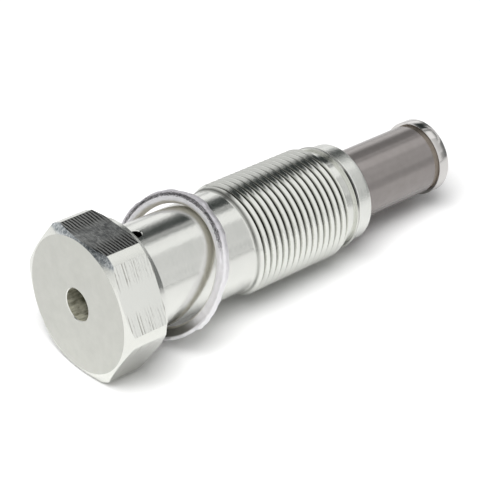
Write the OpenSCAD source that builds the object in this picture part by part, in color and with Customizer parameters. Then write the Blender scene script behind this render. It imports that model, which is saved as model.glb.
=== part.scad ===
// Hydraulic timing chain tensioner with a screw-in housing, lying as it comes to rest.
// It rests on one flat of its hex and on the far end of its thread.
// Lengths along the axis start at the sealing face under the head and run towards the plunger.

/* [Hex head] */
// Width of the hex across its flats
hex_af = 27; // [25:0.5:32]
// How much the round bar stock cuts off the full width across the corners
corner_cut = 1.2; // [0.4:0.1:2]
// Height of the hex, without the washer face
hex_h = 8.9; // [6:0.1:14]
// How much smaller than the flats the flat front face is
face_inset = 0.7; // [0.2:0.1:2]
// Slope of the chamfers at both ends of the hex
chamfer_angle = 30; // [20:1:40]
// How much wider than the flats the land at the rear of the hex is, inside its chamfer
rear_land = 0.6; // [0.4:0.1:1.2]
// How much smaller than the flats the washer face is
washer_inset = 0.5; // [0.2:0.1:2]
// Height of the washer face
washer_h = 0.9; // [0.4:0.1:2]
// Diameter of the blind hole in the head
head_hole_d = 6.2; // [4:0.1:8]
// Depth of the blind hole in the head, without its drill point
head_hole_depth = 6; // [3:0.1:6.5]

/* [Shank and thread] */
// Major diameter of the thread
thread_d = 22; // [21:0.5:24]
// Thread pitch
pitch = 1.5; // [1:0.25:2]
// Length of the thread with its runout cone, up to its last crest
thread_len = 23.8; // [20:0.1:30]
// Length of the cone between the shank and the thread
runout_len = 1.6; // [0.8:0.1:3]
// How much smaller than the thread the shank is
shank_relief = 2; // [1.8:0.1:2.6]
// Length of the plain shank
shank_len = 23.5; // [20:0.5:30]
// Diameter of the oil feed hole in the shank
oil_hole_d = 2.2; // [1.5:0.1:3]
// Place of the oil feed hole behind the sealing face
oil_hole_x = 2.7; // [2.5:0.1:6]

/* [Front end of the housing] */
// Diameter of the collar at the mouth
collar_d = 19.6; // [18.5:0.1:20]
// Length of the collar
collar_len = 3.1; // [2:0.1:6]
// Chamfer on the outer edge of the collar
collar_chamfer = 0.35; // [0.1:0.05:0.8]
// Width of the groove behind the collar
groove_w = 1.1; // [0.6:0.1:2]
// Depth of the groove behind the collar
groove_depth = 0.7; // [0.2:0.05:0.9]
// Length of the plain neck between the thread's end cone and the groove
neck_len = 1.2; // [0.6:0.1:4]
// How much smaller than the collar the neck is
neck_step = 0.2; // [0:0.1:0.8]

/* [Plunger] */
// Diameter of the plunger
plunger_d = 14; // [13:0.1:14.6]
// Radial running clearance of the plunger in its bore
plunger_fit = 0.03; // [0.01:0.01:0.06]
// Travel of the plunger into the housing
plunger_travel = 18; // [8:0.5:18]
// Gap left between the flange and the mouth with the plunger fully in
flange_gap = 3.5; // [1:0.1:6]
// How far the flange stands proud of the plunger
flange_step = 0.57; // [0.3:0.01:1.2]
// Width of the flange's rim
flange_w = 2.5; // [1.5:0.1:4]
// Chamfer on the edges of the flange
flange_chamfer = 0.25; // [0.1:0.05:0.6]
// Width of the undercut behind the flange
undercut_w = 0.5; // [0.3:0.1:1]
// Depth of the undercut behind the flange
undercut_depth = 0.25; // [0.1:0.05:0.5]
// Thickness of the plunger's wall
plunger_wall = 2.2; // [1.8:0.1:2.6]
// Thickness of the plunger's closed end
tip_wall = 4.5; // [3:0.1:8]

/* [Bore and stop] */
// Length of the guide bore behind the mouth
guide_len = 21; // [16:0.5:24]
// How much the bore opens out behind the guide
bore_relief = 0.9; // [0.7:0.05:1.1]
// Wire of the stop ring
stop_wire = 1; // [0.8:0.05:1.1]
// Gap in the stop ring, as an angle
stop_gap = 24; // [10:1:40]
// Plunger's skirt behind the stop ring's groove
skirt_len = 1.2; // [0.8:0.1:3]

/* [Springs and filler] */
// Wire of the plunger spring
spring_wire = 1.3; // [1:0.05:1.5]
// Turns of the plunger spring
spring_turns = 24; // [14:1:28]
// Thickness of the filler's head
filler_head_t = 1.2; // [0.8:0.1:3]
// Length of the filler's stem
filler_stem = 26; // [12:0.5:34]

/* [Check valve] */
// Thickness of the valve seat
seat_t = 2; // [1.6:0.1:4]
// Sheet that the valve cage is pressed from
cage_t = 0.4; // [0.3:0.05:0.5]
// Radial room around the ball in its cage
ball_room = 0.6; // [0.4:0.05:0.7]
// Lift of the ball off its seat
ball_lift = 0.4; // [0.2:0.05:0.6]
// Wire of the ball's spring
ball_spring_wire = 0.3; // [0.2:0.05:0.35]
// Turns of the ball's spring
ball_spring_turns = 2.5; // [2:0.5:3]

/* [Sealing ring] */
// Room between the ring and the thread that it passes over
ring_room = 0.3; // [0.2:0.05:0.6]
// Width of the ring from its bore to its rim
ring_w = 2.65; // [2.3:0.05:3]
// Thickness of the folded bead round the bore
bead_t = 2; // [1.6:0.1:2.4]
// Thickness of the ring at its rim
rim_t = 1.5; // [0.8:0.1:1.5]
// Width and depth of the fold's seam
seam = 0.5; // [0.2:0.05:0.6]
// Flats pressed into the rim
rim_flats = 11; // [8:1:12]
// Depth of each of those flats
rim_flat_depth = 0.3; // [0.1:0.05:0.4]
// Place of the loose ring along the shank
ring_x = 12; // [9:0.5:14]

/* [Hidden] */
$fn = 96;

// Clearances between pieces that seat on or in each other
seat_gap = 0.02;
side_gap = 0.3;
ring_gap = 0.05;
stop_play = 0.1;
stop_room = 0.2;
overlap = 1;
inlet_front = 1.2;
inlet_back = 0.4;
inlet_wall = 1.9;
pocket_ledge = 1.5;
pocket_lip = 1;
seat_ledge = 0.6;
drill_angle = 59;
edge_break = 0.3;

// Head
bar_d = hex_af / cos(30) - corner_cut;
face_d = hex_af - face_inset;
washer_d = hex_af - washer_inset;
rear_d = hex_af + rear_land;
head_len = hex_h + washer_h;

// Places along the housing
shank_d = thread_d - shank_relief;
neck_d = collar_d - neck_step;
end_chamfer = (thread_d - neck_d) / 2;
last_crest = shank_len + thread_len;
thread_end = last_crest + end_chamfer;
neck_end = thread_end + neck_len;
groove_end = neck_end + groove_w;
mouth = groove_end + collar_len;

// Thread form, with a flat of an eighth of the pitch on the crest
thread_depth = 0.6134 * pitch;
flank = thread_depth * tan(30);
crest = pitch / 8;
root_d = thread_d - 2 * thread_depth;
thread_start = shank_len + runout_len;
grooves = floor((last_crest - thread_start - crest) / pitch);

// Bores of the housing
guide_d = plunger_d + 2 * plunger_fit;
relief_d = plunger_d + 2 * bore_relief;
stop_face = mouth - guide_len;
seat_x = oil_hole_x + oil_hole_d / 2 + inlet_front;
inlet_x = oil_hole_x - oil_hole_d / 2 - inlet_back;
inlet_d = oil_hole_d + 2 * inlet_wall;

// Plunger, stop ring and spring
flange_x = mouth + plunger_travel + flange_gap;
tip_x = flange_x + flange_w;
flange_d = plunger_d + 2 * flange_step;
plunger_bore = plunger_d - 2 * plunger_wall;
bore_end = tip_x - tip_wall;
stop_x = stop_face - stop_play - stop_wire / 2;
stop_od = relief_d - 2 * stop_room;
stop_groove_w = stop_wire + stop_room;
stop_groove_d = plunger_d - 2 * stop_wire;
plunger_rear = stop_x - stop_groove_w / 2 - skirt_len;
spring_od = plunger_bore - 2 * side_gap;
spring_id = spring_od - 2 * spring_wire;
filler_stem_d = spring_id - 2 * side_gap;
filler_x = bore_end - seat_gap - filler_head_t;

// Check valve
cage_od = spring_id - 2 * side_gap;
ball_d = cage_od - 2 * cage_t - 2 * ball_room;
orifice_d = ball_d - 2 * seat_ledge;
pocket_d = spring_od + 2 * pocket_ledge;
seat_front = seat_x + seat_t;
seat_cone = 0.7;
ball_x = seat_front - seat_cone + ball_d / sqrt(2) - orifice_d / 2 + seat_gap * sqrt(2);
ball_spring_d = ball_d * 0.64;
ball_spring_x = ball_x + sqrt(pow(ball_d, 2) - pow(ball_spring_d, 2)) / 2 + ball_spring_wire;
ball_spring_len = 4 * ball_spring_wire + ball_lift;
cage_top = ball_spring_x + ball_spring_len + ball_spring_wire / 2 + seat_gap;
pocket_end = seat_front + cage_t + pocket_lip;
spring_x = seat_front + cage_t + seat_gap;

// Sealing ring, leaning as far as its bead allows round the shank
ring_bore = thread_d + ring_room;
ring_od = ring_bore + 2 * ring_w;
bead_r = bead_t / 2;
ring_lean = acos((shank_d / 2 + ring_gap + bead_r) / (ring_bore / 2 + bead_r));

// Rest on a bench: the rear edge of a hex flat and the last crest of the thread touch it
edge_x = -washer_h;
rest_tilt = atan2((hex_af - thread_d) / 2, last_crest - edge_x);
rest_height = hex_af / 2 * cos(rest_tilt) + edge_x * sin(rest_tilt);
low_x = -head_len * cos(rest_tilt) - face_d / 2 * sin(rest_tilt);
high_x = tip_x * cos(rest_tilt) + (flange_d / 2 - flange_chamfer) * sin(rest_tilt);
middle_x = (low_x + high_x) / 2;

// Turns the axis from upright to lying, and sets the piece down with the bench at zero
module lie_at_rest() {
    translate([-middle_x, 0, rest_height])
        rotate([0, 90 + rest_tilt, 0])
            children();
}

// A turned solid from [radius, place] points
module turned(points) {
    rotate_extrude() polygon(points);
}

// A round cut along the axis
module drilled(d, from, to) {
    translate([0, 0, from]) cylinder(d = d, h = to - from);
}

// Round bar with both ends chamfered, which gives the hex its curved corners
module chamfered_bar() {
    slope = tan(chamfer_angle);
    turned([
        [0, -head_len],
        [face_d / 2, -head_len],
        [bar_d / 2, -head_len + (bar_d - face_d) / 2 * slope],
        [bar_d / 2, -washer_h - (bar_d - rear_d) / 2 * slope],
        [rear_d / 2, -washer_h],
        [0, -washer_h]
    ]);
}

module hex_head() {
    intersection() {
        chamfered_bar();
        translate([0, 0, -head_len - overlap])
            rotate([0, 0, 30])
                cylinder(d = hex_af / cos(30), h = head_len + overlap, $fn = 6);
    }
}

// Points of one thread groove that starts at place x
function groove_points(x) = [
    [thread_d / 2, x],
    [root_d / 2, x + flank],
    [root_d / 2, x + pitch - crest - flank],
    [thread_d / 2, x + pitch - crest]
];

// Outside of the housing from the washer face to the mouth
module turned_body() {
    turned(concat(
        [
            [0, -washer_h - overlap],
            [washer_d / 2 - overlap, -washer_h - overlap],
            [washer_d / 2 - overlap, -washer_h],
            [washer_d / 2, -washer_h],
            [washer_d / 2, 0],
            [shank_d / 2, 0],
            [shank_d / 2, shank_len],
            [thread_d / 2, thread_start]
        ],
        [for (i = [0 : grooves - 1], p = groove_points(last_crest - (grooves - i) * pitch)) p],
        [
            [thread_d / 2, last_crest],
            [neck_d / 2, thread_end],
            [neck_d / 2, neck_end],
            [collar_d / 2 - groove_depth, neck_end],
            [collar_d / 2 - groove_depth, groove_end],
            [collar_d / 2, groove_end],
            [collar_d / 2, mouth - collar_chamfer],
            [collar_d / 2 - collar_chamfer, mouth],
            [0, mouth]
        ]
    ));
}

// Guide bore, relief, valve pocket and oil inlet as one stepped bore
module stepped_bore() {
    lead_in = 0.6;
    turned([
        [0, inlet_x],
        [inlet_d / 2, inlet_x],
        [inlet_d / 2, seat_x],
        [pocket_d / 2, seat_x],
        [pocket_d / 2, pocket_end],
        [relief_d / 2, pocket_end + (relief_d - pocket_d) / 2],
        [relief_d / 2, stop_face],
        [guide_d / 2, stop_face],
        [guide_d / 2, mouth - lead_in],
        [guide_d / 2 + lead_in, mouth],
        [guide_d / 2 + lead_in, mouth + overlap],
        [0, mouth + overlap]
    ]);
}

// Blind drilling in the middle of the head, with its drill point
module head_hole() {
    hole_end = -head_len + head_hole_depth;
    turned([
        [0, -head_len - overlap],
        [head_hole_d / 2, -head_len - overlap],
        [head_hole_d / 2, hole_end],
        [0, hole_end + head_hole_d / 2 / tan(drill_angle)]
    ]);
}

module oil_hole() {
    translate([0, 0, oil_hole_x])
        rotate([0, -90, 0])
            cylinder(d = oil_hole_d, h = thread_d);
}

// Round wire wound on a circle, closed with flat ends
function coil_ring(r, wire, sides, place, turn) = [
    for (s = [0 : sides - 1])
        let (a = 360 * s / sides, out = r + wire / 2 * cos(a))
        [out * cos(turn), out * sin(turn), place + wire / 2 * sin(a)]
];

module coil(mid_d, wire, length, turns, steps, sides) {
    rings = ceil(turns * steps);
    ground = wire * 1.1;
    climb = length - wire - 2 * ground;
    points = [
        for (i = [0 : rings])
            let (
                t = turns * i / rings,
                low_end = min(t, 1),
                free = max(0, min(t - 1, turns - 2)),
                high_end = max(0, t - turns + 1),
                place = wire / 2 + ground * (low_end + high_end) + climb * free / (turns - 2)
            )
            each coil_ring(mid_d / 2, wire, sides, place, 360 * t)
    ];
    walls = [
        for (i = [0 : rings - 1], s = [0 : sides - 1])
            let (a = i * sides + s, b = i * sides + (s + 1) % sides)
            each [[a, a + sides, b + sides], [a, b + sides, b]]
    ];
    first_cap = [[for (s = [0 : sides - 1]) s]];
    last_cap = [[for (s = [sides - 1 : -1 : 0]) rings * sides + s]];
    polyhedron(points, concat(walls, first_cap, last_cap), convexity = 10);
}

module housing() {
    color("#c9ccc8")
        lie_at_rest()
            difference() {
                union() {
                    hex_head();
                    turned_body();
                }
                stepped_bore();
                head_hole();
                oil_hole();
            }
}

// Folded section: a round bead at the bore, a thinner rim and the open seam between them
module ring_section() {
    bead_mid = ring_bore / 2 + bead_r;
    corner = rim_t / 3;
    difference() {
        union() {
            translate([bead_mid, 0]) circle(r = bead_r);
            translate([bead_mid, -rim_t / 2]) square([ring_od / 2 - corner - bead_mid, rim_t]);
            translate([ring_od / 2 - corner, -rim_t / 2 + corner]) square([corner, rim_t - 2 * corner]);
            for (side = [-1, 1])
                translate([ring_od / 2 - corner, side * (rim_t / 2 - corner)]) circle(r = corner);
        }
        translate([bead_mid + bead_r * 0.7, -rim_t / 2]) circle(d = seam);
    }
}

module sealing_ring() {
    across = ring_od - 2 * rim_flat_depth;
    color("#d4d5d6")
        lie_at_rest()
            translate([0, 0, ring_x])
                rotate([0, ring_lean, 0])
                    intersection() {
                        rotate_extrude() ring_section();
                        translate([0, 0, -bead_t])
                            cylinder(d = across / cos(180 / rim_flats), h = 2 * bead_t, $fn = rim_flats);
                    }
}

module plunger() {
    groove_from = stop_x - stop_groove_w / 2;
    groove_to = stop_x + stop_groove_w / 2;
    color("#7c7672")
        lie_at_rest()
            turned([
                [plunger_bore / 2, plunger_rear],
                [plunger_d / 2 - edge_break, plunger_rear],
                [plunger_d / 2, plunger_rear + edge_break],
                [plunger_d / 2, groove_from],
                [stop_groove_d / 2, groove_from],
                [stop_groove_d / 2, groove_to],
                [plunger_d / 2, groove_to],
                [plunger_d / 2, flange_x - undercut_w],
                [plunger_d / 2 - undercut_depth, flange_x - undercut_w],
                [plunger_d / 2 - undercut_depth, flange_x],
                [flange_d / 2 - flange_chamfer, flange_x],
                [flange_d / 2, flange_x + flange_chamfer],
                [flange_d / 2, tip_x - flange_chamfer],
                [flange_d / 2 - flange_chamfer, tip_x],
                [0, tip_x],
                [0, bore_end],
                [plunger_bore / 2, bore_end]
            ]);
}

module stop_ring() {
    color("#55585c")
        lie_at_rest()
            translate([0, 0, stop_x])
                rotate([0, 0, stop_gap / 2])
                    rotate_extrude(angle = 360 - stop_gap)
                        translate([(stop_od - stop_wire) / 2, 0])
                            circle(d = stop_wire, $fn = 32);
}

module filler_pin() {
    color("#d8cfae")
        lie_at_rest()
            turned([
                [0, filler_x - filler_stem],
                [filler_stem_d / 2 - edge_break, filler_x - filler_stem],
                [filler_stem_d / 2, filler_x - filler_stem + edge_break],
                [filler_stem_d / 2, filler_x],
                [spring_od / 2, filler_x],
                [spring_od / 2, filler_x + filler_head_t],
                [0, filler_x + filler_head_t]
            ]);
}

module plunger_spring() {
    color("#8d9093")
        lie_at_rest()
            translate([0, 0, spring_x])
                coil(
                    spring_od - spring_wire, spring_wire,
                    filler_x - seat_gap - spring_x, spring_turns, 16, 8
                );
}

module valve_seat() {
    outer = pocket_d / 2 - seat_gap;
    from = seat_x + seat_gap;
    color("#a5a7a8")
        lie_at_rest()
            turned([
                [orifice_d / 2, from],
                [outer, from],
                [outer, seat_front],
                [orifice_d / 2 + seat_cone, seat_front],
                [orifice_d / 2, seat_front - seat_cone]
            ]);
}

module check_ball() {
    color("#dfe2e4")
        lie_at_rest()
            translate([0, 0, ball_x])
                sphere(d = ball_d);
}

module ball_spring() {
    color("#8d9093")
        lie_at_rest()
            translate([0, 0, ball_spring_x - ball_spring_wire / 2])
                coil(
                    ball_spring_d - ball_spring_wire, ball_spring_wire,
                    ball_spring_len, ball_spring_turns, 16, 8
                );
}

// Pressed cup with a flange that the plunger spring holds down, and three oil windows
module valve_cage() {
    from = seat_front + seat_gap / 2;
    top = cage_top + cage_t;
    outer = pocket_d / 2 - seat_gap;
    window = ball_d * 0.45;
    color("#b9a674")
        lie_at_rest()
            difference() {
                turned([
                    [cage_od / 2 - cage_t, from],
                    [outer, from],
                    [outer, seat_front + cage_t],
                    [cage_od / 2, seat_front + cage_t],
                    [cage_od / 2, top],
                    [window / 2, top],
                    [window / 2, cage_top],
                    [cage_od / 2 - cage_t, cage_top]
                ]);
                for (i = [0 : 2])
                    rotate([0, 0, 120 * i])
                        translate([0, 0, seat_front + 2 * cage_t + window / 2])
                            rotate([0, 90, 0])
                                cylinder(d = window, h = cage_od);
            }
}

housing();
sealing_ring();
plunger();
stop_ring();
filler_pin();
plunger_spring();
valve_seat();
check_ball();
ball_spring();
valve_cage();
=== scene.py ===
import math
import random

import bmesh
import bpy
from mathutils import Matrix, Vector


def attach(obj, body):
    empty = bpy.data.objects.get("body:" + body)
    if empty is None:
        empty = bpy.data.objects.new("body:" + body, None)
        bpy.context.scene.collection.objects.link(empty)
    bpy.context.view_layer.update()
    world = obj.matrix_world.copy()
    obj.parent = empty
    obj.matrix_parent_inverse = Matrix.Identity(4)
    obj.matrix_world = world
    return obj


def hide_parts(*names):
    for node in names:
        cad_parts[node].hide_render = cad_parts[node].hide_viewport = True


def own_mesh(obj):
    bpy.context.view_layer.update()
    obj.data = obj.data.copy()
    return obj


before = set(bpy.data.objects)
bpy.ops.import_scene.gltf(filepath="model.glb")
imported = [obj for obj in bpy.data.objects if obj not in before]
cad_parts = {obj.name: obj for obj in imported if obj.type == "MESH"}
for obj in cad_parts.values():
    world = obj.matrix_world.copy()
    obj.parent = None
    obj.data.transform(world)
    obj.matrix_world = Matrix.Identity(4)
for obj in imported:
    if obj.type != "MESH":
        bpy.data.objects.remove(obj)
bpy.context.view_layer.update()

# Sizes in millimetres. Places along the axis start at the sealing face under the head.
MM = 0.001
HEX_AF = 27.0
CORNER_CUT = 1.2
BAR_R = (HEX_AF / math.cos(math.radians(30)) - CORNER_CUT) / 2
HEAD_LEN = 9.8
FACE_R = 13.15
REAR_R = 13.95
CHAMFER = math.tan(math.radians(25))
REAR_CHAMFER = math.tan(math.radians(30))
WASHER_R = 13.15
WASHER_H = 1.25
WASHER_TOP_R = WASHER_R + WASHER_H * math.tan(math.radians(13))
HEAD_HOLE_R = 3.1
HEAD_HOLE_END = -3.8
HEAD_HOLE_CHAMFER = 0.14
DRILL_POINT = math.radians(59)
EDGE_WEAR = 0.07
SHANK_R = 10.0
SHANK_LEN = 23.5
OIL_HOLE_R = 1.1
OIL_HOLE_X = 3.0
THREAD_R = 11.0
PITCH = 1.5
THREAD_START = 25.1
LAST_CREST = 47.3
NECK_R = 9.7
THREAD_END = LAST_CREST + THREAD_R - NECK_R
LAST_RIDGE = 46.65
NECK_LINE = 49.1
NECK_END = 49.8
GROOVE_END = 50.9
GROOVE_ROUND = 0.7
COLLAR_R = 9.8
COLLAR_ROUND = 0.35
MOUTH = 54.0
LEAD_IN = 0.6
# Between the bores and the outside
WALL_MIDDLE_R = 9.0
GUIDE_R = 7.03
RELIEF_R = 7.9
STOP_FACE = 33.0
POCKET_R = 6.0
POCKET_END = 8.4
SEAT_X = 5.0
INLET_R = 3.0
INLET_X = 1.2
PLUNGER_R = 7.0
PLUNGER_BORE_R = 4.8
PLUNGER_REAR = 30.6
PLUNGER_EDGE = 0.3
STOP_GROOVE = (31.8, 33.0, 6.0)
UNDERCUT_W = 0.8
UNDERCUT_DEPTH = 0.3
FLANGE_X = 75.5
FLANGE_R = 7.57
FLANGE_CHAMFER = 0.25
FLANGE_REAR_ROUND = 0.08
FLANGE_FRONT_ROUND = 0.12
TIP_X = 78.0
BORE_END = 73.5
RING_X = 11.4
RING_TURN = -2.2
RING_BORE_R = 11.25
RING_R = 13.9
RING_GAP = 0.08
BEAD_R = 1.0
RING_LEAN = math.acos((SHANK_R + RING_GAP + BEAD_R) / (RING_BORE_R + BEAD_R))
SPRING_R = 3.85
SPRING_WIRE_R = 0.65
SPRING_FROM = 7.42
SPRING_TO = 72.26
SPRING_TURNS = 24
BALL_SPRING_R = 1.066
BALL_SPRING_WIRE_R = 0.15
BALL_SPRING_FROM = 9.325
BALL_SPRING_TO = 10.925
BALL_SPRING_TURNS = 2.5
# Room around a face's middle when faces are told apart by their place
SLACK = 0.01

# The part rests on the rear edge of a hex flat and on the thread's last crest.
REST_EDGE = 0.9
TILT = math.atan2(HEX_AF / 2 - THREAD_R, LAST_CREST + REST_EDGE)
REST_HEIGHT = HEX_AF / 2 * math.cos(TILT) - REST_EDGE * math.sin(TILT)
MIDDLE_X = (
    TIP_X * math.cos(TILT) + (FLANGE_R - FLANGE_CHAMFER) * math.sin(TILT)
    - HEAD_LEN * math.cos(TILT) - FACE_R * math.sin(TILT)
) / 2
LIE_DOWN = (
    Matrix.Translation((-MIDDLE_X * MM, 0, REST_HEIGHT * MM))
    @ Matrix.Rotation(math.pi / 2 + TILT, 4, "Y")
    @ Matrix.Scale(MM, 4)
)
RING_POSE = (
    Matrix.Translation((0, 0, RING_X))
    @ Matrix.Rotation(math.radians(RING_TURN), 4, "X")
    @ Matrix.Rotation(RING_LEAN, 4, "Y")
)


# Shader maths

class Value:
    """A socket that takes part in Python expressions, which add Math nodes."""

    def __init__(self, finish, socket):
        self.finish = finish
        self.socket = socket

    def math(self, operation, *others):
        return self.finish.maths(operation, self, *others)

    def __add__(self, other):
        return self.math("ADD", other)

    def __sub__(self, other):
        return self.math("SUBTRACT", other)

    def __mul__(self, other):
        return self.math("MULTIPLY", other)

    def __rsub__(self, other):
        return self.finish.maths("SUBTRACT", other, self)

    __radd__ = __add__
    __rmul__ = __mul__


class Finish:
    """A node material, or the world's node tree, under construction."""

    def __init__(self, owner):
        owner.use_nodes = True
        self.owner = owner
        self.tree = owner.node_tree
        self.tree.nodes.clear()

    def make(self, kind, settings=None, sockets=None, out=0):
        """Adds any node: its settings first, then the values or links of its sockets."""
        node = self.tree.nodes.new(kind)
        for key, setting in (settings or {}).items():
            setattr(node, key, setting)
        for key, item in (sockets or {}).items():
            if isinstance(item, Value):
                self.tree.links.new(item.socket, node.inputs[key])
            else:
                node.inputs[key].default_value = item
        if isinstance(out, tuple):
            return [Value(self, node.outputs[name]) for name in out]
        return Value(self, node.outputs[out]) if node.outputs else self.owner

    def maths(self, operation, *items):
        return self.make("ShaderNodeMath", {"operation": operation}, dict(enumerate(items)))

    def placed(self, pose=None):
        """Millimetres in the upright frame (x down, y across, z along the axis) or in a piece's own frame."""
        turned_back = (LIE_DOWN @ pose if pose else LIE_DOWN).inverted()
        return self.make("ShaderNodeMapping", sockets={
            "Vector": self.make("ShaderNodeTexCoord", out="Object"), "Location": turned_back.translation,
            "Rotation": turned_back.to_euler(), "Scale": (1 / MM, 1 / MM, 1 / MM),
        })

    def parts(self, vector):
        return self.make("ShaderNodeSeparateXYZ", sockets={"Vector": vector}, out=("X", "Y", "Z"))

    def noise(self, vector, scale, detail=2.0, roughness=0.5):
        return self.make("ShaderNodeTexNoise", sockets={
            "Vector": vector, "Scale": scale, "Detail": detail, "Roughness": roughness, "Distortion": 0.0,
        })

    def lines(self, place, scale, detail=2.0, roughness=0.6):
        """Noise that changes along one direction only, as tool marks do."""
        return self.make("ShaderNodeTexNoise", {"noise_dimensions": "1D"}, {
            "W": place, "Scale": scale, "Detail": detail, "Roughness": roughness,
        })

    def stretched(self, vector, x, y, z):
        return self.make("ShaderNodeVectorMath", {"operation": "MULTIPLY"}, {0: vector, 1: (x, y, z)})

    def ramp(self, value, low, high):
        """Runs smoothly from 0 at low to 1 at high."""
        return self.make("ShaderNodeMapRange", {"interpolation_type": "SMOOTHSTEP"}, {
            "Value": value, "From Min": low, "From Max": high,
        })

    def band(self, value, start, end, edge):
        """1 between start and end, with soft edges."""
        return self.ramp(value, start - edge, start + edge) * self.ramp(value, end + edge, end - edge)

    def blend(self, share, first, second):
        return self.make("ShaderNodeMix", {"data_type": "RGBA"}, {0: share, 6: first, 7: second}, out=2)

    def bump(self, height):
        return self.make("ShaderNodeBump", sockets={"Strength": 1.0, "Distance": MM, "Height": height})

    def around(self, x, y):
        """Degrees round the axis: 90 is on top and 0 on the near side."""
        return self.maths("ARCTAN2", 0 - x, 0 - y) * (180 / math.pi)

    def surface(self, colour, roughness, normal, metallic=1.0):
        shader = self.make("ShaderNodeBsdfPrincipled", sockets={
            "Base Color": colour, "Roughness": roughness, "Metallic": metallic, "Normal": normal,
        })
        return self.make("ShaderNodeOutputMaterial", sockets={"Surface": shader})


def rgb(r, g, b):
    return (r, g, b, 1.0)


# Finishes

def zinc_turned():
    """Bright zinc plate over turned steel: fine lathe lines and a faint cloudy tint."""
    f = Finish(bpy.data.materials.new("zinc_turned"))
    place = f.placed()
    s = f.parts(place)[2]
    cloud = f.noise(place, 0.4, 3.0)
    lathe = f.lines(s, 7.0, 3.0, 0.7)
    colour = f.blend(cloud, rgb(0.77, 0.78, 0.742), rgb(0.84, 0.843, 0.806))
    roughness = 0.12 + cloud * 0.06 + lathe * 0.06
    return f.surface(colour, roughness, f.bump(lathe * 0.006 + f.noise(place, 1.6, 3.0) * 0.016))


def zinc_chamfer():
    """The hex's chamfer and corner strips: turned plate, darker in small spots on top of the head."""
    f = Finish(bpy.data.materials.new("zinc_chamfer"))
    place = f.placed()
    x, _, s = f.parts(place)
    spots = f.noise(f.stretched(place, 1, 1, 0.5), 2.2, 4.0, 0.65)
    lathe = f.lines(s, 9.0, 3.0, 0.7)
    # The front chamfer is darker in small spots on top of the head.
    dark_on_top = f.ramp(s, -8.75, -9.0) * f.ramp(x, -11.2, -12.3)
    dark_spotted = f.blend(f.ramp(spots, 0.35, 0.65), rgb(0.24, 0.27, 0.29), rgb(0.7, 0.73, 0.74))
    clean = f.blend(spots, rgb(0.78, 0.79, 0.745), rgb(0.87, 0.875, 0.825))
    roughness = 0.2 + spots * 0.1
    return f.surface(f.blend(dark_on_top, clean, dark_spotted), roughness, f.bump(lathe * 0.006 + spots * 0.012))


def zinc_milled():
    """The hex's flats: cutter lines across the axis, deep near the corners; painted shade makes the top flat
    dark and the lower flats darker.
    """
    f = Finish(bpy.data.materials.new("zinc_milled"))
    place = f.placed()
    x, y, s = f.parts(place)
    across = f.maths("PINGPONG", f.maths("ARCTAN2", y, x), math.pi / 6).math("TANGENT") * (HEX_AF / 2)
    wander = f.noise(place, 0.55, 3.0, 0.6)
    feed = f.ramp(((s + wander * 0.5) * (2 * math.pi / 0.65)).math("SINE"), -0.5, 0.5)
    patch = f.noise(f.stretched(place, 0.35, 0.35, 1.0), 1.1, 2.0)
    deep = f.ramp(across + patch * 3.0, 3.0, 5.6)
    scratch = f.noise(f.stretched(place, 0.5, 0.5, 2.5), 2.0, 4.0, 0.7)
    # The flat on top is painted dark: painted shade for the dark surroundings it reflects.
    dark_on_top = f.ramp(x, -13.15, -13.4)
    mark = feed * deep * (0.5 + scratch)
    tick = mark * f.ramp(f.lines(s, 2.6, 2.0) + scratch * 0.3, 0.62, 0.8)
    bright = f.blend(scratch, rgb(0.88, 0.893, 0.848), rgb(0.97, 0.975, 0.93))
    bright = f.blend(tick, bright, rgb(0.5, 0.49, 0.45))
    # Painted shade: the top flat's colour is a mottled dark grey, with its cutter marks near black.
    top_shade_mottle = f.ramp(scratch * 0.5 + wander * 0.5, 0.36, 0.64)
    dull = f.blend(top_shade_mottle, rgb(0.19, 0.198, 0.2), rgb(0.62, 0.625, 0.61))
    ridged = f.blend(mark, f.blend(deep, dull, rgb(0.5, 0.505, 0.49)), rgb(0.03, 0.03, 0.028))
    # Painted shade: the lower flats are painted darker, for the shadowed floor they reflect.
    bright = f.blend(f.ramp(x, 0, 5) * 0.6, bright, rgb(0.62, 0.625, 0.59))
    colour = f.blend(dark_on_top, bright, ridged)
    roughness = 0.15 + scratch * 0.1
    return f.surface(colour, roughness, f.bump(mark * 0.003 + scratch * 0.004))


def zinc_satin():
    """The head's front face: finely blasted, even and matt."""
    f = Finish(bpy.data.materials.new("zinc_satin"))
    place = f.placed()
    cloud = f.noise(place, 0.45, 4.0, 0.6)
    grain = f.noise(place, 7.0, 3.0, 0.65)
    colour = f.blend(cloud, rgb(0.6, 0.606, 0.565), rgb(0.72, 0.722, 0.678))
    return f.surface(colour, 0.42 + grain * 0.14, f.bump(grain * 0.03))


def drilled_oxide():
    """Wall of the hole in the head: dull olive grey with drill marks."""
    f = Finish(bpy.data.materials.new("drilled_oxide"))
    place = f.placed()
    s = f.parts(place)[2]
    mottle = f.noise(f.stretched(place, 1, 1, 0.4), 1.3, 4.0, 0.65)
    marks = f.lines(s, 5.0, 3.0, 0.7)
    colour = f.blend(f.ramp(mottle, 0.3, 0.7), rgb(0.17, 0.165, 0.12), rgb(0.62, 0.61, 0.5))
    return f.surface(colour, 0.4 + mottle * 0.2, f.bump(marks * 0.02 + mottle * 0.06), metallic=0.35)


def bore_dark():
    """Walls of the oil hole and the bores, painted near black as the shade inside them."""
    f = Finish(bpy.data.materials.new("bore_dark"))
    place = f.placed()
    bore_mottle = f.noise(place, 1.4, 3.0)
    colour = f.blend(bore_mottle, rgb(0.05, 0.05, 0.045), rgb(0.14, 0.14, 0.125))
    return f.surface(colour, 0.25 + bore_mottle * 0.2, f.bump(bore_mottle * 0.02))


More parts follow.
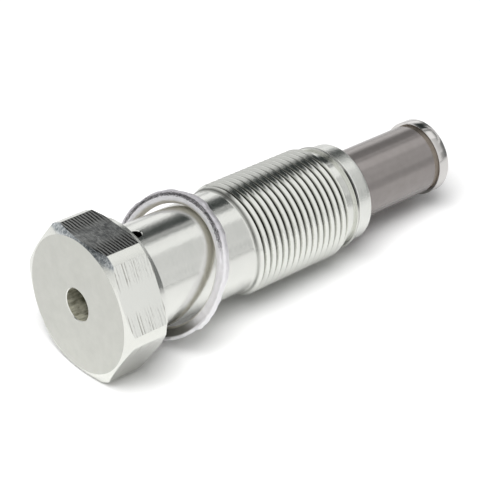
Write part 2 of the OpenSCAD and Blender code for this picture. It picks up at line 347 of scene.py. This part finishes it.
def zinc_thread():
    """The thread: bright crests and flanks, dark in the roots, partly residue and partly painted shade, less
    of it low on the near side.
    """
    f = Finish(bpy.data.materials.new("zinc_thread"))
    place = f.placed()
    x, y, s = f.parts(place)
    radius = (x * x + y * y).math("SQRT")
    cloud = f.noise(place, 0.6, 3.0)
    scuff = f.noise(f.stretched(place, 1, 1, 4.0), 1.5, 3.0, 0.65)
    # The roots are near black, partly residue and partly painted shade, with less of it low on the near side.
    sunk = f.ramp(radius + scuff * 0.1, 10.7, 10.3) * f.ramp(s, 23.4, 24.2) * f.ramp(s, 46.9, 46.5)
    around = f.around(x, y)
    sunk = sunk * (0.45 + f.ramp(around, 5, 38) * 0.55)
    clean = f.blend(cloud, rgb(0.77, 0.783, 0.742), rgb(0.85, 0.854, 0.812))
    colour = f.blend(sunk, clean, rgb(0.06, 0.06, 0.05))
    roughness = 0.1 + scuff * 0.07 + sunk * 0.25
    return f.surface(colour, roughness, f.bump(scuff * 0.014))


def zinc_groove():
    """The narrow groove behind the collar: thin, dull plate, black along one arc, partly residue and partly
    painted shade.
    """
    f = Finish(bpy.data.materials.new("zinc_groove"))
    place = f.placed()
    x, y, _ = f.parts(place)
    mottle = f.noise(place, 1.5, 3.0, 0.6)
    around = f.around(x, y)
    # Black along one arc: partly residue, partly painted shade in the groove.
    residue_and_shade = f.band(around + mottle * 10, 22, 66, 6)
    clean = f.blend(mottle, rgb(0.52, 0.52, 0.49), rgb(0.7, 0.7, 0.67))
    colour = f.blend(residue_and_shade, clean, rgb(0.02, 0.02, 0.018))
    return f.surface(colour, 0.25 + mottle * 0.15, f.bump(mottle * 0.02))


def zinc_collar():
    """The collar: plated and slightly frosted."""
    f = Finish(bpy.data.materials.new("zinc_collar"))
    place = f.placed()
    frost = f.noise(place, 2.6, 4.0, 0.7)
    cloud = f.noise(place, 0.5, 2.0)
    colour = f.blend(cloud, rgb(0.78, 0.793, 0.755), rgb(0.87, 0.877, 0.84))
    return f.surface(colour, 0.18 + frost * 0.1, f.bump(frost * 0.03))


def ring_aluminium():
    """Grained sheet, torn and grey where its edge is folded in, with dark lines in the fold that are partly
    cracks and partly painted shade; painted shade darkens the lip on top and the low side of the fold.
    """
    f = Finish(bpy.data.materials.new("ring_aluminium"))
    place = f.placed(RING_POSE)
    x, y, z = f.parts(place)
    radius = (x * x + y * y).math("SQRT")
    cloud = f.noise(place, 0.9, 3.0)
    grain = f.noise(place, 5.0, 3.0, 0.7)
    jag = (f.noise(place, 1.8, 3.0, 0.7) - 0.5) * 0.9
    speck = f.ramp(f.noise(place, 2.4, 3.0, 0.7), 0.44, 0.58)
    fold_open = f.ramp(x - y * 0.3, -3.5, -8.0) * f.ramp(z, 0.0, -0.15)
    # Dark lines in the fold on its open arc: partly cracks, partly painted shade in the crease.
    cracks_and_crease_shade = f.band(radius + jag, 12.58, 12.74, 0.07) + f.band(radius + jag, 13.04, 13.18, 0.07) * 0.8
    torn = f.band(radius + jag * 0.3, 12.52, 13.24, 0.08) * fold_open
    bore = f.ramp(radius, 11.9, 11.45)
    sheet = f.blend(cloud, rgb(0.9, 0.885, 0.912), rgb(0.97, 0.96, 0.972))
    # Painted shade: the lip is darker over the top, for the dark surroundings it reflects there.
    top_lip = f.ramp(x - y * 0.3, -4.0, -9.0) * f.ramp(radius, 12.9, 13.2)
    sheet = f.blend(top_lip * 0.7, sheet, rgb(0.62, 0.6, 0.635))
    # Painted reflection: the bead and fold are near black low on the head side, for the shadowed underside
    # they reflect.
    low_side = f.ramp(x, 4.0, 8.5) * f.ramp(radius, 13.35, 13.0) * f.ramp(z, 0.3, -0.1)
    sheet = f.blend(low_side * 0.95, sheet, rgb(0.17, 0.165, 0.145))
    colour = f.blend(bore, sheet, rgb(0.75, 0.715, 0.65))
    colour = f.blend(torn * (0.12 + speck * 0.7), colour, rgb(0.26, 0.25, 0.26))
    colour = f.blend(cracks_and_crease_shade * fold_open * (0.2 + grain * 1.1), colour, rgb(0.06, 0.055, 0.06))
    roughness = 0.36 + grain * 0.26
    return f.surface(colour, roughness, f.bump(grain * (0.07 + torn * 0.14) + cloud * 0.25), metallic=0.8)


def plunger_dark():
    """Dark hardened steel, ground round its length."""
    f = Finish(bpy.data.materials.new("plunger_dark"))
    place = f.placed()
    s = f.parts(place)[2]
    lathe = f.lines(s, 5.0, 3.0, 0.7)
    cloud = f.noise(place, 0.6, 3.0)
    colour = f.blend(cloud, rgb(0.29, 0.265, 0.255), rgb(0.36, 0.333, 0.322))
    return f.surface(colour, 0.15 + lathe * 0.08, f.bump(lathe * 0.004), metallic=0.6)


def flange_ground():
    """The flange, ground bright with a grain round its rim."""
    f = Finish(bpy.data.materials.new("flange_ground"))
    place = f.placed()
    s = f.parts(place)[2]
    grain = f.lines(s, 16.0, 3.0, 0.7)
    cloud = f.noise(place, 0.8, 2.0)
    colour = f.blend(cloud, rgb(0.68, 0.66, 0.64), rgb(0.76, 0.745, 0.73))
    return f.surface(colour, 0.07 + grain * 0.04, f.bump(grain * 0.003))


def undercut_brown():
    """The undercut behind the flange, left brown from hardening."""
    f = Finish(bpy.data.materials.new("undercut_brown"))
    place = f.placed()
    mottle = f.noise(place, 1.2, 3.0)
    colour = f.blend(mottle, rgb(0.28, 0.245, 0.21), rgb(0.44, 0.395, 0.345))
    return f.surface(colour, 0.35 + mottle * 0.15, f.bump(mottle * 0.02))


def inner_metal(name, dark, light, roughness):
    """Drawn wire, pressed sheet or turned steel inside the housing."""
    f = Finish(bpy.data.materials.new(name))
    place = f.placed()
    cloud = f.noise(place, 1.5, 3.0)
    grain = f.noise(place, 8.0, 2.0)
    return f.surface(f.blend(cloud, dark, light), roughness + grain * 0.1, f.bump(grain * 0.01))


def filler_nylon():
    """Natural nylon, faintly clouded."""
    f = Finish(bpy.data.materials.new("filler_nylon"))
    place = f.placed()
    cloud = f.noise(place, 0.7, 3.0)
    grain = f.noise(place, 7.0, 2.0)
    colour = f.blend(cloud, rgb(0.72, 0.66, 0.5), rgb(0.82, 0.77, 0.62))
    return f.surface(colour, 0.45 + grain * 0.12, f.bump(grain * 0.02), metallic=0.0)


# Modelling

def turned(points, steps=144, closed=False):
    """Spins a chain of (radius, place) points about the axis."""
    bm = bmesh.new()
    chain = [bm.verts.new((r, 0, z)) for r, z in points]
    pairs = list(zip(chain, chain[1:])) + ([(chain[-1], chain[0])] if closed else [])
    edges = [bm.edges.new(pair) for pair in pairs]
    bmesh.ops.spin(
        bm, geom=chain + edges, cent=(0, 0, 0), axis=(0, 0, 1),
        angle=2 * math.pi, steps=steps, use_merge=True,
    )
    bmesh.ops.remove_doubles(bm, verts=bm.verts[:], dist=1e-4)
    bmesh.ops.recalc_face_normals(bm, faces=bm.faces[:])
    return bm


def arc(centre, radius, start, end, count):
    return [
        (centre[0] + radius * math.cos(a), centre[1] + radius * math.sin(a))
        for a in (math.radians(start + (end - start) * i / count) for i in range(count + 1))
    ]


def unit(value):
    """Keeps a number between 0 and 1."""
    return max(0.0, min(1.0, value))


def finished(bm, name, materials, body, nodes=(), sharp=24):
    """Lays the mesh down as one object that rides on a body and stands for CAD nodes."""
    for face in bm.faces:
        face.smooth = True
    for edge in bm.edges:
        broad = any(len(face.verts) > 8 for face in edge.link_faces)
        edge.smooth = edge.calc_face_angle(0) < math.radians(sharp) and not broad
    bmesh.ops.transform(bm, matrix=LIE_DOWN, verts=bm.verts[:])
    mesh = bpy.data.meshes.new(name)
    bm.to_mesh(mesh)
    bm.free()
    for material in materials:
        mesh.materials.append(material)
    piece = bpy.data.objects.new(name, mesh)
    bpy.context.scene.collection.objects.link(piece)
    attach(piece, body)
    if nodes:
        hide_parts(*nodes)
    return piece


def drilled(bm, cutter):
    """Cuts one mesh from another."""
    made = []
    for shape in (bm, cutter):
        mesh = bpy.data.meshes.new("drilling")
        shape.to_mesh(mesh)
        shape.free()
        made.append(bpy.data.objects.new("drilling", mesh))
        bpy.context.scene.collection.objects.link(made[-1])
    cut = made[0].modifiers.new("cut", "BOOLEAN")
    cut.operation = "DIFFERENCE"
    cut.solver = "EXACT"
    cut.object = made[1]
    seen = made[0].evaluated_get(bpy.context.evaluated_depsgraph_get())
    result = bmesh.new()
    result.from_mesh(seen.to_mesh())
    seen.to_mesh_clear()
    for item in made:
        bpy.data.meshes.remove(item.data)
    return result


def hex_head():
    """A chamfered bar with its six flats cut, a washer face behind and a drilled hole in front."""
    rise = (BAR_R - FACE_R) * CHAMFER
    fall = (BAR_R - REAR_R) * REAR_CHAMFER
    tip = HEAD_HOLE_END + HEAD_HOLE_R / math.tan(DRILL_POINT)
    bm = turned([
        (0, tip), (HEAD_HOLE_R, HEAD_HOLE_END),
        (HEAD_HOLE_R, -HEAD_LEN + HEAD_HOLE_CHAMFER), (HEAD_HOLE_R + HEAD_HOLE_CHAMFER, -HEAD_LEN),
        (FACE_R - 0.05, -HEAD_LEN), (FACE_R + 0.05, -HEAD_LEN + 0.04),
        (BAR_R, -HEAD_LEN + rise), (BAR_R, -WASHER_H - fall),
        (REAR_R, -WASHER_H), (WASHER_TOP_R, -WASHER_H),
        (WASHER_R + 0.02, -0.1), (WASHER_R - 0.1, 0), (SHANK_R - 0.5, 0), (0, 0),
    ], steps=180)
    bar, flats, front, hole, washer = range(5)
    for face in bm.faces:
        middle = face.calc_center_median()
        radius = math.hypot(middle.x, middle.y)
        if radius < HEAD_HOLE_R and middle.z < -WASHER_H:
            face.material_index = hole
        elif middle.z > -WASHER_H + SLACK:
            face.material_index = washer
        elif face.normal.z < -0.99 and middle.z < -HEAD_LEN + 2 * SLACK:
            face.material_index = front
    for k in range(6):
        normal = Vector((math.cos(k * math.pi / 3), math.sin(k * math.pi / 3), 0))
        bmesh.ops.bisect_plane(
            bm, geom=bm.verts[:] + bm.edges[:] + bm.faces[:], plane_co=normal * HEX_AF / 2,
            plane_no=normal, clear_outer=True,
        )
        rim = [edge for edge in bm.edges if edge.is_boundary]
        for face in bmesh.ops.edgeloop_fill(bm, edges=rim)["faces"]:
            face.material_index = flats
    bmesh.ops.recalc_face_normals(bm, faces=bm.faces[:])
    worn = [
        edge for edge in bm.edges
        if sum(face.material_index == flats for face in edge.link_faces) == 1
    ]
    broken = bmesh.ops.bevel(
        bm, geom=worn, offset=EDGE_WEAR, offset_type="OFFSET", segments=2, profile=0.5,
        affect="EDGES", material=-1, clamp_overlap=True,
    )
    for face in broken["faces"]:
        face.material_index = bar
    return finished(
        bm, "hex_head", [zinc_chamfer(), zinc_milled(), zinc_satin(), drilled_oxide(), zinc_turned_finish],
        "housing", ["housing"], sharp=15,
    )


# The thread is copies of one turn of its form. A root lies at ROOT_X on the line that is ROOT_ANGLE
# degrees short of the start of a turn.
FORM_POINTS = 24
TURN_STEPS = 120
TURNS = 21
TURNS_BEHIND_ROOT = 17
ROOT_X = 46.43
ROOT_ANGLE = 103
THREAD_DEPTH = 0.6134 * PITCH
CREST_FLAT = 0.125
RUN_OUT_SLOPE = 1.2


def form_radius(share):
    """Radius of the thread's form over one pitch: crests rounded by rolling, roots sharper."""
    sunk = 2 * min(share, 1 - share)
    rounded = 1 - math.cos(sunk * math.pi / 2)
    straight = unit((sunk - CREST_FLAT) / (1 - 2 * CREST_FLAT))
    return THREAD_R - THREAD_DEPTH * (0.5 * rounded + 0.5 * straight)


def cone_limit(place):
    """Largest radius that the turned blank leaves at a place along the thread."""
    run_in = SHANK_R + (place - SHANK_LEN) / (THREAD_START - SHANK_LEN) * (THREAD_R - SHANK_R)
    run_out = THREAD_R - (place - LAST_RIDGE) * RUN_OUT_SLOPE
    return min(max(run_in, SHANK_R), max(run_out, NECK_R))


def carried_on(bm, rim, radius, place, stops):
    """Extrudes a round rim through (radius, place) stops and returns the last rim."""
    for next_radius, next_place in stops:
        grown = bmesh.ops.extrude_edge_only(bm, edges=rim)["geom"]
        verts = [item for item in grown if isinstance(item, bmesh.types.BMVert)]
        new = set(verts)
        rim = [item for item in grown if isinstance(item, bmesh.types.BMEdge) and set(item.verts) <= new]
        bmesh.ops.scale(bm, vec=(next_radius / radius, next_radius / radius, 1), verts=verts)
        bmesh.ops.translate(bm, vec=(0, 0, next_place - place), verts=verts)
        radius, place = next_radius, next_place
    return rim


def threaded_body():
    """Shank, helical thread, neck, groove and collar, with the stepped bore inside."""
    bm = bmesh.new()
    shares = [i / FORM_POINTS for i in range(FORM_POINTS + 1)]
    chain = [bm.verts.new((form_radius(share), 0, share * PITCH)) for share in shares]
    edges = [bm.edges.new(pair) for pair in zip(chain, chain[1:])]
    bmesh.ops.spin(
        bm, geom=chain + edges, cent=(0, 0, 0), axis=(0, 0, 1), dvec=(0, 0, PITCH / TURN_STEPS),
        angle=2 * math.pi, steps=TURN_STEPS,
    )
    turn = bm.verts[:] + bm.edges[:] + bm.faces[:]
    for k in range(1, TURNS):
        copy = bmesh.ops.duplicate(bm, geom=turn)["geom"]
        verts = [item for item in copy if isinstance(item, bmesh.types.BMVert)]
        bmesh.ops.translate(bm, vec=(0, 0, k * PITCH), verts=verts)
    bmesh.ops.remove_doubles(bm, verts=bm.verts[:], dist=1e-3)
    first_crest = ROOT_X + PITCH * ROOT_ANGLE / 360 - PITCH / 2 - TURNS_BEHIND_ROOT * PITCH
    bmesh.ops.translate(bm, vec=(0, 0, first_crest), verts=bm.verts[:])
    for vert in bm.verts:
        radius = math.hypot(vert.co.x, vert.co.y)
        limit = cone_limit(vert.co.z)
        if radius > limit:
            vert.co.x *= limit / radius
            vert.co.y *= limit / radius
    rear, front = SHANK_LEN - 0.3, THREAD_END + 0.2
    for place, facing in ((rear, -1), (front, 1)):
        bmesh.ops.bisect_plane(
            bm, geom=bm.verts[:] + bm.edges[:] + bm.faces[:], plane_co=(0, 0, place),
            plane_no=(0, 0, facing), clear_outer=True,
        )
    open_edges = [edge for edge in bm.edges if edge.is_boundary]
    rear_rim = [edge for edge in open_edges if edge.verts[0].co.z < SHANK_LEN]
    front_rim = [edge for edge in open_edges if edge.verts[0].co.z > THREAD_END]
    inside_head = -0.4
    last = carried_on(bm, rear_rim, SHANK_R, rear, [
        *((SHANK_R, place) for place in (16, 8, 4.6, 1, inside_head)), (SHANK_R - 2, inside_head),
    ])
    bmesh.ops.edgeloop_fill(bm, edges=last)
    groove_middle = (COLLAR_R + 0.1, (NECK_END + GROOVE_END) / 2)
    last = carried_on(bm, front_rim, NECK_R, front, [
        (NECK_R, NECK_LINE), (NECK_R - 0.14, NECK_LINE + 0.06),
        (NECK_R - 0.14, NECK_LINE + 0.14), (NECK_R - 0.02, NECK_LINE + 0.2),
        (NECK_R - 0.02, NECK_END - 0.12), (NECK_R - 0.14, NECK_END),
        *arc(groove_middle, GROOVE_ROUND, 222, 318, 6),
        (COLLAR_R - 0.14, GROOVE_END), (COLLAR_R, GROOVE_END + 0.14), (COLLAR_R, 52), (COLLAR_R, 53),
        *arc((COLLAR_R - COLLAR_ROUND, MOUTH - COLLAR_ROUND), COLLAR_ROUND, 0, 90, 5),
        (GUIDE_R + LEAD_IN, MOUTH), (GUIDE_R, MOUTH - LEAD_IN),
        (GUIDE_R, STOP_FACE), (RELIEF_R, STOP_FACE),
        (RELIEF_R, POCKET_END + RELIEF_R - POCKET_R), (POCKET_R, POCKET_END), (POCKET_R, SEAT_X),
        (INLET_R, SEAT_X), (INLET_R, INLET_X),
    ])
    bmesh.ops.edgeloop_fill(bm, edges=last)
    bmesh.ops.recalc_face_normals(bm, faces=bm.faces[:])
    oil_hole = turned([
        (0, 0.5), (OIL_HOLE_R, 0.5), (OIL_HOLE_R, SHANK_R - 0.16), (OIL_HOLE_R + 0.25, SHANK_R + 0.1),
        (OIL_HOLE_R + 0.25, 12), (0, 12),
    ], steps=48)
    upright = Matrix.Rotation(-math.pi / 2, 3, "Y")
    bmesh.ops.rotate(oil_hole, cent=(0, 0, 0), matrix=upright, verts=oil_hole.verts[:])
    bmesh.ops.translate(oil_hole, vec=(0, 0, OIL_HOLE_X), verts=oil_hole.verts[:])
    bm = drilled(bm, oil_hole)
    plain, thread, groove, collar, bore = range(5)
    for face in bm.faces:
        middle = face.calc_center_median()
        radius = math.hypot(middle.x, middle.y)
        in_bore = radius < WALL_MIDDLE_R and middle.z < MOUTH - LEAD_IN - 0.1
        in_oil_hole = radius < SHANK_R - 0.2 and middle.z < 2 * OIL_HOLE_X
        if in_bore or in_oil_hole:
            face.material_index = bore
        elif SHANK_LEN - 0.2 < middle.z < NECK_LINE - 0.1:
            face.material_index = thread
        elif NECK_END - 0.05 < middle.z < GROOVE_END - 0.05:
            face.material_index = groove
        elif middle.z > GROOVE_END - 0.05:
            face.material_index = collar
        else:
            face.material_index = plain
    return finished(
        bm, "threaded_body",
        [zinc_turned_finish, zinc_thread(), zinc_groove(), zinc_collar(), bore_dark()],
        "housing", ["housing"],
    )


# Where the ring's lip is kinked, as an angle round it, and how far it is pushed in there.
KINKS = [
    (28, 0.3), (71, 0.25), (118, 0.3), (155, 0.22), (190, 0.34),
    (222, 0.3), (256, 0.26), (300, 0.42), (334, 0.3),
]
KINK_RISE = 5
KINK_LENGTH = 34
# Radii between which the sheet's edge shows in the fold, where dents begin, and the middle of the arc
# where the fold is open. Outside that arc a slanting cover closes it.
FOLD_FROM, FOLD_TO = 12.6, 13.5
DENT_FROM = 12.9
OPEN_MIDDLE = 165
OPEN_HALF = 55
OPEN_FADE = 25
COVER_Z = -0.9
COVER_FROM = 12.7
COVER_SLOPE = 0.12
LIP_ROUND = 0.55
FOLD_OUT = 0.62


def lip_dent(angle):
    """How far the lip is pushed in: slow waves, and kinks that start sharply and run out."""
    slow, quick = math.radians(3 * angle + 40), math.radians(7 * angle)
    dent = 0.03 * (1 + math.sin(slow)) + 0.02 * (1 + math.sin(quick))
    for start, depth in KINKS:
        past = (angle - start) % 360
        dent += depth * max(0.0, min(past / KINK_RISE, (KINK_LENGTH - past) / (KINK_LENGTH - KINK_RISE)))
    return dent


def uneven(levels, place):
    """Reads a closed row of levels, straight from one to the next."""
    first = math.floor(place)
    share = place - first
    return levels[first % len(levels)] * (1 - share) + levels[(first + 1) % len(levels)] * share


def crush_ring():
    """A tube of folded sheet: round bead at the bore, a torn edge in the fold and a dented lip round it."""
    middle = RING_BORE_R + BEAD_R
    lip = RING_R - LIP_ROUND
    fold = middle + FOLD_OUT
    section = (
        arc((middle, 0), BEAD_R, -62, -318, 20)
        + [(middle + 0.9, 0.5)]
        + arc((lip, 0.1), LIP_ROUND, 95, 0, 6)
        + arc((lip, -0.25), LIP_ROUND, 0, -130, 9)
        + [(fold + 0.11, -0.42), (fold + 0.06, -0.4), (fold + 0.03, -0.6)]
        + [(fold - 0.02, -0.64), (fold - 0.07, -0.56), (fold - 0.1, -0.42)]
    )
    steps = 360
    bm = turned(section, steps, closed=True)
    rng = random.Random(11)
    pits = [rng.uniform(-1, 1) for _ in range(steps)]
    for vert in bm.verts:
        radius = math.hypot(vert.co.x, vert.co.y)
        angle = math.degrees(math.atan2(vert.co.y, vert.co.x)) % 360
        out = unit((radius - DENT_FROM) / (RING_R - DENT_FROM))
        torn = max(0.0, 1 - abs(radius - fold) / 0.2) if vert.co.z < -0.2 else 0.0
        pit = pits[round(angle) % steps]
        ragged = 0.1 * uneven(pits[:90], angle / 4)
        away = abs((angle + (180 - OPEN_MIDDLE)) % 360 - 180)
        closed = unit((away - OPEN_HALF) / OPEN_FADE)
        in_fold = vert.co.z < -0.15 and FOLD_FROM < radius < FOLD_TO
        moved = radius - out * (lip_dent(angle) + abs(ragged)) + torn * (1 - closed) * 0.07 * pit
        vert.co.x *= moved / radius
        vert.co.y *= moved / radius
        if in_fold:
            vert.co.z += closed * (COVER_Z + (radius - COVER_FROM) * COVER_SLOPE - vert.co.z)
        sway = 0.1 * math.sin(math.radians(2 * angle + 50)) + 0.12 * math.sin(math.radians(5 * angle))
        vert.co.z += out * (sway + ragged) + torn * (1 - closed) * (0.12 * pit + 0.06)
    bmesh.ops.transform(bm, matrix=RING_POSE, verts=bm.verts[:])
    bmesh.ops.recalc_face_normals(bm, faces=bm.faces[:])
    return finished(
        bm, "crush_ring", [ring_aluminium()], "housing", ["sealing_ring"], sharp=50,
    )


def plunger_piece():
    """The hollow plunger with its stop groove, the undercut and the flange at its tip."""
    groove_from, groove_to, groove_r = STOP_GROOVE
    bm = turned([
        (0, BORE_END), (PLUNGER_BORE_R, BORE_END),
        (PLUNGER_BORE_R, PLUNGER_REAR), (PLUNGER_R - PLUNGER_EDGE, PLUNGER_REAR),
        (PLUNGER_R, PLUNGER_REAR + PLUNGER_EDGE),
        (PLUNGER_R, groove_from), (groove_r, groove_from), (groove_r, groove_to), (PLUNGER_R, groove_to),
        (PLUNGER_R, 60), (PLUNGER_R, FLANGE_X - UNDERCUT_W),
        (PLUNGER_R - UNDERCUT_DEPTH, FLANGE_X - UNDERCUT_W + 0.1), (PLUNGER_R - UNDERCUT_DEPTH, FLANGE_X),
        (FLANGE_R - FLANGE_CHAMFER, FLANGE_X),
        *arc((FLANGE_R - FLANGE_REAR_ROUND, FLANGE_X + FLANGE_REAR_ROUND), FLANGE_REAR_ROUND, -90, 0, 3),
        *arc((FLANGE_R - FLANGE_FRONT_ROUND, TIP_X - FLANGE_FRONT_ROUND), FLANGE_FRONT_ROUND, 0, 90, 3),
        (FLANGE_R - 0.3, TIP_X), (0, TIP_X),
    ])
    flange, undercut = 1, 2
    for face in bm.faces:
        middle = face.calc_center_median()
        radius = math.hypot(middle.x, middle.y)
        on_rim = middle.z > FLANGE_X - SLACK and radius > PLUNGER_R
        on_end = middle.z > TIP_X - 1 and face.normal.z > 0.9
        beside_rim = FLANGE_X - UNDERCUT_W - SLACK < middle.z < FLANGE_X + SLACK
        if on_rim or on_end:
            face.material_index = flange
        elif beside_rim and radius > PLUNGER_BORE_R + 0.1:
            face.material_index = undercut
    return finished(
        bm, "plunger_body", [plunger_dark(), flange_ground(), undercut_brown()],
        "plunger", ["plunger"],
    )


WIRE_SIDES = 10
WIRE_STEPS = 24


def wound(radius, wire_r, start, end, turns):
    """Round wire wound by spins that climb: a closed turn at each end and an open coil between."""
    bm = bmesh.new()
    ground = 2.2 * wire_r
    climb = end - start - 2 * wire_r - 2 * ground
    tilt = Matrix.Rotation(math.pi / 2, 4, "X")
    place = Matrix.Translation((radius, 0, start + wire_r)) @ tilt
    made = bmesh.ops.create_circle(bm, cap_ends=False, segments=WIRE_SIDES, radius=wire_r, matrix=place)
    geom = made["verts"] + list({edge for vert in made["verts"] for edge in vert.link_edges})
    first = [item for item in geom if isinstance(item, bmesh.types.BMEdge)]
    for count, rise in ((1, ground), (turns - 2, climb), (1, ground)):
        steps = round(count * WIRE_STEPS)
        grown = bmesh.ops.spin(
            bm, geom=geom, cent=(0, 0, 0), axis=(0, 0, 1), dvec=(0, 0, rise / steps),
            angle=count * 2 * math.pi, steps=steps,
        )["geom_last"]
        verts = {item for item in grown if isinstance(item, bmesh.types.BMVert)}
        edges = [item for item in grown if isinstance(item, bmesh.types.BMEdge) and set(item.verts) <= verts]
        geom = list(verts) + edges
    last = [item for item in geom if isinstance(item, bmesh.types.BMEdge)]
    bmesh.ops.edgeloop_fill(bm, edges=first)
    bmesh.ops.edgeloop_fill(bm, edges=last)
    bmesh.ops.recalc_face_normals(bm, faces=bm.faces[:])
    return bm


def springs(wire):
    """Both coils, each wound once between its fixed ends."""
    coil = finished(
        wound(SPRING_R, SPRING_WIRE_R, SPRING_FROM, SPRING_TO, SPRING_TURNS), "plunger_coil", [wire],
        "housing", ["plunger_spring"], sharp=60,
    )
    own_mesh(coil)
    ball_coil = finished(
        wound(BALL_SPRING_R, BALL_SPRING_WIRE_R, BALL_SPRING_FROM, BALL_SPRING_TO, BALL_SPRING_TURNS),
        "ball_coil", [wire], "housing", ["ball_spring"], sharp=60,
    )
    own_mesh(ball_coil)


def dress(node, material):
    """Gives a carried-over solid its finish."""
    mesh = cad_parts[node].data
    mesh.materials.clear()
    mesh.materials.append(material)


zinc_turned_finish = zinc_turned()
hex_head()
threaded_body()
crush_ring()
plunger_piece()
spring_wire = inner_metal("spring_wire", rgb(0.3, 0.31, 0.32), rgb(0.44, 0.45, 0.46), 0.28)
springs(spring_wire)
dress("stop_ring", spring_wire)
dress("filler_pin", filler_nylon())
dress("valve_seat", inner_metal("seat_steel", rgb(0.45, 0.46, 0.46), rgb(0.58, 0.59, 0.59), 0.25))
dress("check_ball", inner_metal("ball_polish", rgb(0.7, 0.71, 0.72), rgb(0.78, 0.79, 0.8), 0.06))
dress("valve_cage", inner_metal("cage_sheet", rgb(0.5, 0.44, 0.28), rgb(0.62, 0.56, 0.38), 0.3))


# Floor, light and camera

def bench():
    """A white floor, a little paler to the camera than it is to other light."""
    bm = bmesh.new()
    bmesh.ops.create_grid(bm, x_segments=2, y_segments=2, size=3.0)
    mesh = bpy.data.meshes.new("bench")
    bm.to_mesh(mesh)
    bm.free()
    f = Finish(bpy.data.materials.new("bench_white"))
    to_camera = f.make("ShaderNodeLightPath", out="Is Camera Ray")
    shown = f.blend(to_camera, rgb(0.9, 0.9, 0.9), rgb(1.12, 1.12, 1.12))
    shader = f.make("ShaderNodeBsdfDiffuse", sockets={"Color": shown})
    mesh.materials.append(f.make("ShaderNodeOutputMaterial", sockets={"Surface": shader}))
    floor = bpy.data.objects.new("bench", mesh)
    bpy.context.scene.collection.objects.link(floor)


def softbox(name, place, size, power):
    """A lamp that shines at the part and doesn't show in the metal."""
    light = bpy.data.lights.new(name, "AREA")
    light.shape = "RECTANGLE"
    light.size, light.size_y = size
    light.energy = power
    lamp = bpy.data.objects.new(name, light)
    lamp.location = place
    lamp.rotation_euler = (-Vector(place)).to_track_quat("-Z", "Y").to_euler()
    lamp.visible_glossy = False
    bpy.context.scene.collection.objects.link(lamp)


# The studio's panels by the roll about the part's length: 0 is the horizon behind it, 90 overhead and
# 180 the horizon in front. Each has its first and last roll, the softness of its edges and its brightness.
DARK = 0.03
PANELS_AT_HEAD = [
    (-40, 39, 16, 1.05), (46, 80, 8, 0.1), (71, 73.5, 1.5, 0.4),
    (74, 220, 3, 0.27), (84, 220, 4, 0.53), (97, 106, 3, 0.36),
]
PANELS_AT_TIP = [
    (-40, 27, 10, 1.05), (65, 70, 2, 0.75), (72, 220, 3, 0.33),
    (79, 108, 2.5, 0.8), (108, 153, 5, 0.3), (153, 220, 5, 0.45),
]
FLOOR_GLOW = 0.16


def studio_world():
    """White to the camera. To the metal, panels by the roll, a bright left end and a dim right end."""
    world = bpy.data.worlds.new("studio")
    bpy.context.scene.world = world
    f = Finish(world)
    x, y, z = f.parts(f.make("ShaderNodeTexCoord", out="Generated"))
    roll = f.maths("ARCTAN2", z.math("ABSOLUTE"), y) * (180 / math.pi)
    at_head, at_tip = (
        sum((f.band(roll, first, last, edge) * level for first, last, edge, level in panels), DARK)
        for panels in (PANELS_AT_HEAD, PANELS_AT_TIP)
    )
    toward_tip = f.ramp(x, 0.52, 0.6)
    past_flange = f.band(roll, 157, 179, 4) * f.ramp(x, 0.6, 0.63) * 0.42
    panels = at_head + (at_tip - at_head) * toward_tip - past_flange
    left = 0.95 - f.band(y, 0.28, 0.64, 0.08) * f.ramp(z, 0.98, 0.8) * 0.92 - f.ramp(y, 0.6, 0.72) * 0.29
    right = 0.2 + f.band(z, 0.5, 0.56, 0.02) * 0.9
    to_right, to_left = f.ramp(x, 0.7, 0.8), f.ramp(x, 0.42, 0.05)
    level = panels + (right - panels) * to_right
    level = level + (left - level) * to_left
    colour = f.blend(level, rgb(0.0, 0.006, 0.005), rgb(1, 1, 1))
    to_camera, to_metal = f.make("ShaderNodeLightPath", out=("Is Camera Ray", "Is Glossy Ray"))
    shown = f.blend(to_camera, rgb(FLOOR_GLOW, FLOOR_GLOW, FLOOR_GLOW), rgb(1, 1, 1))
    shown = f.blend(to_metal, shown, colour)
    background = f.make("ShaderNodeBackground", sockets={"Color": shown, "Strength": 1.0})
    f.make("ShaderNodeOutputWorld", sockets={"Surface": background})


def camera():
    """The photo's view."""
    data = bpy.data.cameras.new("camera")
    data.sensor_fit = "HORIZONTAL"
    data.sensor_width = 36.0
    data.lens = 143.84
    data.clip_start = 0.01
    view = bpy.data.objects.new("camera", data)
    view.location = (-0.205485, -0.214228, 0.21943)
    view.rotation_euler = [math.radians(a) for a in (54.516, -1.766, -41.823)]
    bpy.context.scene.collection.objects.link(view)
    bpy.context.scene.camera = view


bench()
studio_world()
softbox("key_light", (-0.27, -0.12, 0.7), (0.6, 0.6), 6.8)
camera()
bpy.context.scene.view_settings.view_transform = "Standard"
